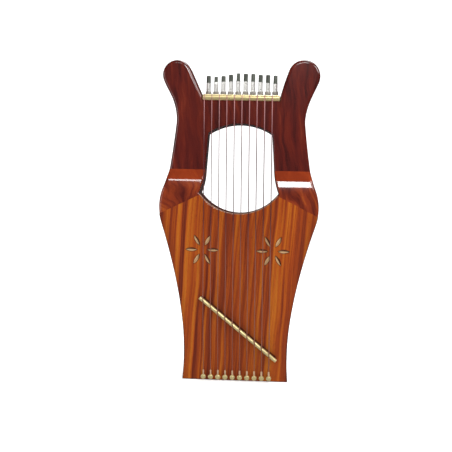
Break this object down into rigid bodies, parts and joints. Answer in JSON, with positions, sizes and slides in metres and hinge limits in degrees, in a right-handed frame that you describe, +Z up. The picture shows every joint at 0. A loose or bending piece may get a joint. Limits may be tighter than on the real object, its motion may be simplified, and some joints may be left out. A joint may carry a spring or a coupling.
{
  "type": "lap lyre",
  "caption": "Kinnor style lap lyre: hollow lacquered wood soundbox, two curved horned arms, crossbar, brass nut and slanted bridge, wire strings on turning pins.",
  "frame": {"origin": "centre of the flat bottom of the soundbox, on which the lyre stands; y = 0 is halfway between soundboard and back board", "axes": "+Z up along the strings from the hitch pins to the tuning pins; the string side faces -Y; +X is to the right seen from the string side, where the longest string is"},
  "size_m": [0.278, 0.0782, 0.5615],
  "materials": {
    "striped_lacquered_wood": "zebra-striped orange and red-brown hardwood veneer under high gloss lacquer",
    "lacquered_rib_wood": "red-brown hardwood, gloss lacquer",
    "dark_lacquered_wood": "dark maroon hardwood, high gloss lacquer",
    "shoulder_lacquered_wood": "red-brown hardwood with swirling grain, high gloss lacquer",
    "raw_wood": "plain unfinished light wood, inside only",
    "bridge_wood": "near-black hardwood, satin",
    "polished_brass": "polished",
    "tuning_pin_steel": "polished steel with darker filed square heads",
    "string_wire": "bronze wound wire"
  },
  "bodies": {
    "lyre_frame": {"back_board": "striped_lacquered_wood", "back_brace_lower": "raw_wood", "back_brace_upper": "raw_wood", "back_lining_left": "raw_wood", "back_lining_right": "raw_wood", "bowl_rib": "lacquered_rib_wood", "bridge_base": "bridge_wood", "bridge_rod": "polished_brass", "crossbar": "dark_lacquered_wood", "crossbar_dowels": "raw_wood", "front_lining_left": "raw_wood", "front_lining_right": "raw_wood", "hitch_pins": "polished_brass", "left_arm": "dark_lacquered_wood", "left_rib": "lacquered_rib_wood", "left_shoulder": "shoulder_lacquered_wood", "nut_rod": "polished_brass", "right_arm": "dark_lacquered_wood", "right_rib": "lacquered_rib_wood", "right_shoulder": "shoulder_lacquered_wood", "soundboard": "striped_lacquered_wood", "soundboard_brace_lower": "raw_wood", "soundboard_brace_upper": "raw_wood", "string_1": "string_wire", "string_10": "string_wire", "string_2": "string_wire", "string_3": "string_wire", "string_4": "string_wire", "string_5": "string_wire", "string_6": "string_wire", "string_7": "string_wire", "string_8": "string_wire", "string_9": "string_wire", "tail_block": "raw_wood", "tail_rib": "lacquered_rib_wood"},
    "pin_1": {"tuning_pin_1": "tuning_pin_steel", "string_coil_1": "string_wire"},
    "pin_2": {"tuning_pin_2": "tuning_pin_steel", "string_coil_2": "string_wire"},
    "pin_3": {"tuning_pin_3": "tuning_pin_steel", "string_coil_3": "string_wire"},
    "pin_4": {"tuning_pin_4": "tuning_pin_steel", "string_coil_4": "string_wire"},
    "pin_5": {"tuning_pin_5": "tuning_pin_steel", "string_coil_5": "string_wire"},
    "pin_6": {"tuning_pin_6": "tuning_pin_steel", "string_coil_6": "string_wire"},
    "pin_7": {"tuning_pin_7": "tuning_pin_steel", "string_coil_7": "string_wire"},
    "pin_8": {"tuning_pin_8": "tuning_pin_steel", "string_coil_8": "string_wire"},
    "pin_9": {"tuning_pin_9": "tuning_pin_steel", "string_coil_9": "string_wire"},
    "pin_10": {"tuning_pin_10": "tuning_pin_steel", "string_coil_10": "string_wire"}
  },
  "joints": [
    {"name": "pin_turn_1", "type": "hinge", "parent": "lyre_frame", "child": "pin_1", "pos_m": [-0.05895, 0.001, 0.497], "axis": [0, 0, 1], "range_deg": [-180, 180]},
    {"name": "pin_turn_2", "type": "hinge", "parent": "lyre_frame", "child": "pin_2", "pos_m": [-0.04585, 0.001, 0.497], "axis": [0, 0, 1], "range_deg": [-180, 180]},
    {"name": "pin_turn_3", "type": "hinge", "parent": "lyre_frame", "child": "pin_3", "pos_m": [-0.03275, 0.001, 0.497], "axis": [0, 0, 1], "range_deg": [-180, 180]},
    {"name": "pin_turn_4", "type": "hinge", "parent": "lyre_frame", "child": "pin_4", "pos_m": [-0.01965, 0.001, 0.497], "axis": [0, 0, 1], "range_deg": [-180, 180]},
    {"name": "pin_turn_5", "type": "hinge", "parent": "lyre_frame", "child": "pin_5", "pos_m": [-0.00655, 0.001, 0.497], "axis": [0, 0, 1], "range_deg": [-180, 180]},
    {"name": "pin_turn_6", "type": "hinge", "parent": "lyre_frame", "child": "pin_6", "pos_m": [0.00655, 0.001, 0.497], "axis": [0, 0, 1], "range_deg": [-180, 180]},
    {"name": "pin_turn_7", "type": "hinge", "parent": "lyre_frame", "child": "pin_7", "pos_m": [0.01965, 0.001, 0.497], "axis": [0, 0, 1], "range_deg": [-180, 180]},
    {"name": "pin_turn_8", "type": "hinge", "parent": "lyre_frame", "child": "pin_8", "pos_m": [0.03275, 0.001, 0.497], "axis": [0, 0, 1], "range_deg": [-180, 180]},
    {"name": "pin_turn_9", "type": "hinge", "parent": "lyre_frame", "child": "pin_9", "pos_m": [0.04585, 0.001, 0.497], "axis": [0, 0, 1], "range_deg": [-180, 180]},
    {"name": "pin_turn_10", "type": "hinge", "parent": "lyre_frame", "child": "pin_10", "pos_m": [0.05895, 0.001, 0.497], "axis": [0, 0, 1], "range_deg": [-180, 180]}
  ]
}
